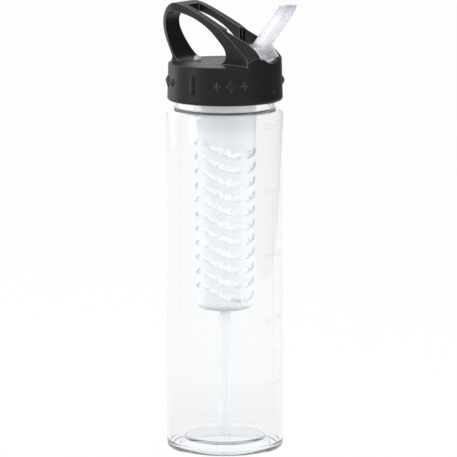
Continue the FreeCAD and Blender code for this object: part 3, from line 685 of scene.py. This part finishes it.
class INFUSER_OT_lid(Operator):
    """Finishes the black lid and adds the grip ribs and the lozenges on its skirt"""

    bl_idname = "infuser.lid"
    bl_label = "Black lid"

    def execute(self, context):
        sizes = context.scene.infuser_ornament
        black = material_once(satin_polypropylene, context)
        dress("lid_shell", black)
        new_piece("grip_ribs", self.ribs(sizes), "lid", black, corner=50.0)
        new_piece("skirt_lozenges", self.lozenges(sizes), "lid", black, corner=20.0)
        return {"FINISHED"}

    def ribs(self, sizes):
        """Upright pills with rounded tops."""
        rings = [(pill_outline(sizes.rib_width / 2, sizes.rib_height / 2), -sizes.skirt_root)]
        for inset, rise in RIB_RINGS:
            shrink = inset * sizes.rib_width
            outline = pill_outline(sizes.rib_width / 2 - shrink, sizes.rib_height / 2 - shrink)
            rings.append((outline, rise * sizes.rib_rise))
        bm = bmesh.new()
        for azimuth in RIB_AZIMUTHS:
            raised_boss(bm, rings, azimuth, LID_LOW.z + sizes.rib_middle, partial(skirt_radius, sizes))
        return bm

    def lozenges(self, sizes):
        """Groups of faceted lozenges, a large one between two smaller ones."""
        bm = bmesh.new()
        for azimuth in LOZENGE_AZIMUTHS:
            for place, share in LOZENGE_GROUP:
                half = sizes.lozenge * share / 2
                tall = half * LOZENGE_TALL
                diamond = [(half, 0.0), (0.0, tall), (-half, 0.0), (0.0, -tall)]
                rings = [(diamond, -sizes.skirt_root)]
                for scale, rise in LOZENGE_RINGS:
                    rings.append(([(x * scale, y * scale) for x, y in diamond], rise * sizes.lozenge_rise))
                turn_to = azimuth + math.degrees(place * sizes.lozenge_gap / LID_HIGH.y)
                raised_boss(bm, rings, turn_to, LID_LOW.z + sizes.rib_middle, partial(skirt_radius, sizes))
        return bm


class INFUSER_OT_scale_marks(Operator):
    """Raises the capacity scale on the bottle's side: mould lines, marks and plain numerals"""

    bl_idname = "infuser.scale_marks"
    bl_label = "Capacity scale"

    def execute(self, context):
        sizes = context.scene.infuser_ornament
        surface = partial(wall_radius, context.scene.infuser_bottle)
        bm = bmesh.new()
        for index in range(sizes.mark_count):
            z = sizes.mark_first + sizes.mark_step * index
            between = z - sizes.mark_step / 2
            self.mark(bm, sizes, sizes.mark_width, sizes.mark_thick, z, surface)
            self.mark(bm, sizes, sizes.half_mark_width, sizes.half_mark_thick, between, surface)
            for azimuth, unit in NUMERAL_COLUMNS:
                self.numeral(bm, str(unit * (index + 1)), sizes, azimuth, z, surface)
        half = sizes.mould_line_width / 2
        stops = [sizes.mould_line_length * (0.5 - i / MOULD_LINE_STEPS) for i in range(MOULD_LINE_STEPS + 1)]
        line = [(half, stops[0])]
        line += [(-half, stop) for stop in stops]
        line += [(half, stop) for stop in reversed(stops[1:])]
        for azimuth in MOULD_LINE_AZIMUTHS:
            rings = [(line, -sizes.mark_root), (line, sizes.mark_rise / 2)]
            raised_boss(bm, rings, azimuth, sizes.mould_line_middle, surface)
        frost = material_once(frosted_scale, context)
        marks = new_piece("capacity_scale", bm, "bottle", frost, corner=30.0)
        marks.visible_shadow = False
        return {"FINISHED"}

    def mark(self, bm, sizes, width, thick, z, surface):
        """Adds a level mark to a bmesh."""
        x, y = width / 2, thick / 2
        bar = [(x, y), (-x, y), (-x, -y), (x, -y)]
        raised_boss(bm, [(bar, -sizes.mark_root), (bar, sizes.mark_rise)], 0, z, surface)

    def numeral(self, bm, text, sizes, azimuth, z, surface):
        """Adds a numeral to a bmesh, wrapped on the bottle's side."""
        words = bpy.data.curves.new("numeral", "FONT")
        words.body = text
        words.size = sizes.figure * FONT_PER_FIGURE
        words.align_x = "CENTER"
        words.align_y = "CENTER"
        words.extrude = sizes.mark_rise / 2
        holder = bpy.data.objects.new("numeral", words)
        bpy.context.scene.collection.objects.link(holder)
        bpy.context.view_layer.update()
        flat = bpy.data.meshes.new_from_object(holder.evaluated_get(bpy.context.evaluated_depsgraph_get()))
        for vertex in flat.vertices:
            x, y, rise = vertex.co
            height = z + y
            radius = surface(height) + rise + sizes.mark_rise / 2
            angle = math.radians(azimuth) + x / surface(height)
            vertex.co = (radius * math.cos(angle), radius * math.sin(angle), height)
        bm.from_mesh(flat)
        bpy.data.objects.remove(holder)
        bpy.data.curves.remove(words)
        bpy.data.meshes.remove(flat)


class INFUSER_OT_spout(Operator):
    """Finishes the flip-up mouthpiece"""

    bl_idname = "infuser.spout"
    bl_label = "Flip spout"

    def execute(self, context):
        spout = dress("flip_spout", material_once(smoky_styrene, context))
        spout.visible_shadow = False
        return {"FINISHED"}


class INFUSER_OT_inside(Operator):
    """Finishes the basket, the insert and the straw inside the bottle"""

    bl_idname = "infuser.inside"
    bl_label = "Basket, insert and straw"

    def execute(self, context):
        milky = material_once(milky_polypropylene, context)
        tube = material_once(natural_polyethylene, context)
        for node, finish in (("infuser_basket", milky), ("lid_insert", milky), ("straw", tube)):
            dress(node, finish).visible_shadow = False
        return {"FINISHED"}


class INFUSER_OT_soft_rings(Operator):
    """Finishes the soft rings, gasket, spout seal and straw grommet, and the clear vent valve"""

    bl_idname = "infuser.soft_rings"
    bl_label = "Silicone rings and valve"

    def execute(self, context):
        silicone = material_once(natural_silicone, context)
        for node in ("lid_gasket", "spout_seal", "straw_grommet"):
            dress(node, silicone)
        dress("vent_valve", material_once(clear_silicone, context))
        return {"FINISHED"}


class INFUSER_OT_stage(Operator):
    """Sets the pale floor, the soft lamps, the dark card, the white surroundings and the camera"""

    bl_idname = "infuser.stage"
    bl_label = "Studio stage"

    def execute(self, context):
        scene = context.scene
        scene.view_settings.view_transform = "Standard"
        scene.cycles.max_bounces = BOUNCES
        scene.cycles.transmission_bounces = BOUNCES
        scene.cycles.glossy_bounces = BOUNCES
        self.floor(scene)
        self.surroundings(scene)
        level = math.cos(VIEW_TILT)
        back = Vector((math.sin(VIEW_TURN) * level, -math.cos(VIEW_TURN) * level, math.sin(VIEW_TILT)))
        right = Vector((math.cos(VIEW_TURN), math.sin(VIEW_TURN), 0))
        toward = Vector((back.x, back.y, 0)).normalized()
        middle = Vector((0, 0, LIT_HEIGHT))
        for name, across, near, above, width, height, power in LAMPS:
            place = middle + right * across + toward * near + Vector((0, 0, above))
            self.lamp(scene, name, place, middle, width, height, power)
        self.card(scene, right, toward)
        self.camera(scene, back, right)
        return {"FINISHED"}

    def seen(self, tree):
        """1 for rays from the camera, in reflections and through clear plastic, 0 for light."""
        path = add_node(tree, "ShaderNodeLightPath")
        either = add_node(tree, "ShaderNodeMath", {"operation": "MAXIMUM"}, {
            0: path.outputs["Is Camera Ray"], 1: path.outputs["Is Glossy Ray"],
        })
        any_of = add_node(tree, "ShaderNodeMath", {"operation": "MAXIMUM"}, {
            0: either.outputs[0], 1: path.outputs["Is Transmission Ray"],
        })
        return any_of.outputs[0]

    def floor(self, scene):
        """A wide pale board that shows white and keeps the bottle's soft shadow."""
        colours = scene.infuser_colours
        material, tree, output = new_material("pale_painted_board")
        paint = add_node(tree, "ShaderNodeBsdfDiffuse", {"Color": tuple(colours.floor)})
        white = add_node(tree, "ShaderNodeEmission", {"Color": tuple(colours.background), "Strength": 1.0})
        share = add_node(tree, "ShaderNodeMath", {"operation": "MULTIPLY"}, {0: self.seen(tree)})
        share.inputs[1].default_value = FLOOR_WHITE
        mix = add_node(tree, "ShaderNodeMixShader", None, {
            "Fac": share.outputs[0], 1: paint.outputs[0], 2: white.outputs[0],
        })
        tree.links.new(mix.outputs[0], output.inputs["Surface"])
        bm = bmesh.new()
        bmesh.ops.create_grid(bm, x_segments=FLOOR_CELLS, y_segments=FLOOR_CELLS, size=FLOOR_HALF)
        mesh = bpy.data.meshes.new("floor")
        bm.to_mesh(mesh)
        bm.free()
        mesh.materials.append(material)
        board = bpy.data.objects.new("floor", mesh)
        board.location.z = -FLOOR_DROP
        scene.collection.objects.link(board)

    def surroundings(self, scene):
        """White to the eye and a dimmer even light on the bottle."""
        colours = scene.infuser_colours
        world = bpy.data.worlds.new("studio")
        scene.world = world
        world.use_nodes = True
        tree = world.node_tree
        tree.nodes.clear()
        light = add_node(tree, "ShaderNodeBackground", {"Color": tuple(colours.light), "Strength": 0.8})
        white = add_node(tree, "ShaderNodeBackground", {"Color": tuple(colours.background), "Strength": 1.0})
        mix = add_node(tree, "ShaderNodeMixShader", None, {
            "Fac": self.seen(tree), 1: light.outputs[0], 2: white.outputs[0],
        })
        output = add_node(tree, "ShaderNodeOutputWorld")
        tree.links.new(mix.outputs[0], output.inputs["Surface"])

    def lamp(self, scene, name, place, target, width, height, power):
        """A soft box that faces a point and isn't seen through clear plastic."""
        data = bpy.data.lights.new(name, "AREA")
        data.shape = "RECTANGLE"
        data.size = width
        data.size_y = height
        data.energy = power
        lamp = bpy.data.objects.new(name, data)
        lamp.visible_transmission = False
        lamp.visible_glossy = name != MATT_LAMP
        scene.collection.objects.link(lamp)
        lamp.location = place
        lamp.rotation_euler = (target - place).to_track_quat("-Z", "Y").to_euler()

    def card(self, scene, right, toward):
        """A dark card beside the bottle that only reflections meet: it darkens the lid's far side."""
        material, tree, output = new_material("black_card")
        felt = add_node(tree, "ShaderNodeBsdfDiffuse", {"Color": tuple(scene.infuser_colours.card)})
        tree.links.new(felt.outputs[0], output.inputs["Surface"])
        mesh = bpy.data.meshes.new("black_card")
        near = right * CARD_RIGHT + toward * CARD_NEAR
        far = right * CARD_RIGHT + toward * CARD_FAR
        rise = Vector((0, 0, CARD_HEIGHT))
        mesh.from_pydata([near, far, far + rise, near + rise], [], [(0, 1, 2, 3)])
        mesh.materials.append(material)
        card = bpy.data.objects.new("black_card", mesh)
        card.visible_camera = False
        card.visible_diffuse = False
        card.visible_transmission = False
        card.visible_shadow = False
        scene.collection.objects.link(card)

    def camera(self, scene, back, right):
        """The photo's camera."""
        camera = bpy.data.objects.new("photo_camera", bpy.data.cameras.new("photo_camera"))
        scene.collection.objects.link(camera)
        target = Vector((0, 0, VIEW_HEIGHT))
        camera.location = target + back * VIEW_DISTANCE
        camera.data.sensor_width = SENSOR_WIDTH
        camera.data.lens = FOCAL_PIXELS / PHOTO_PIXELS * SENSOR_WIDTH
        camera.data.clip_end = VIEW_END
        aim = target + right * AIM_RIGHT - back.cross(right) * AIM_DOWN
        camera.rotation_euler = (aim - camera.location).to_track_quat("-Z", "Y").to_euler()
        scene.camera = camera


PIECES = (
    INFUSER_OT_bottle,
    INFUSER_OT_threads,
    INFUSER_OT_scale_marks,
    INFUSER_OT_lid,
    INFUSER_OT_spout,
    INFUSER_OT_inside,
    INFUSER_OT_soft_rings,
    INFUSER_OT_stage,
)


class INFUSER_PT_panel(Panel):
    """Lists the bottle's pieces in the sidebar"""

    bl_idname = "INFUSER_PT_panel"
    bl_label = "Infuser bottle"
    bl_space_type = "VIEW_3D"
    bl_region_type = "UI"
    bl_category = "Infuser bottle"

    def draw(self, context):
        for operator in PIECES:
            self.layout.operator(operator.bl_idname)
        for name in GROUPS:
            group = getattr(context.scene, name)
            for key in group.bl_rna.properties.keys():
                if key not in {"rna_type", "name"}:
                    self.layout.prop(group, key)


def register():
    for group in GROUPS.values():
        bpy.utils.register_class(group)
    for name, group in GROUPS.items():
        setattr(bpy.types.Scene, name, PointerProperty(type=group))
    for operator in PIECES:
        bpy.utils.register_class(operator)
    bpy.utils.register_class(INFUSER_PT_panel)


def unregister():
    bpy.utils.unregister_class(INFUSER_PT_panel)
    for operator in reversed(PIECES):
        bpy.utils.unregister_class(operator)
    for name in GROUPS:
        delattr(bpy.types.Scene, name)
    for group in GROUPS.values():
        bpy.utils.unregister_class(group)


def main():
    register()
    bpy.ops.infuser.bottle()
    bpy.ops.infuser.threads()
    bpy.ops.infuser.scale_marks()
    bpy.ops.infuser.lid()
    bpy.ops.infuser.spout()
    bpy.ops.infuser.inside()
    bpy.ops.infuser.soft_rings()
    bpy.ops.infuser.stage()


if __name__ == "__main__":
    main()
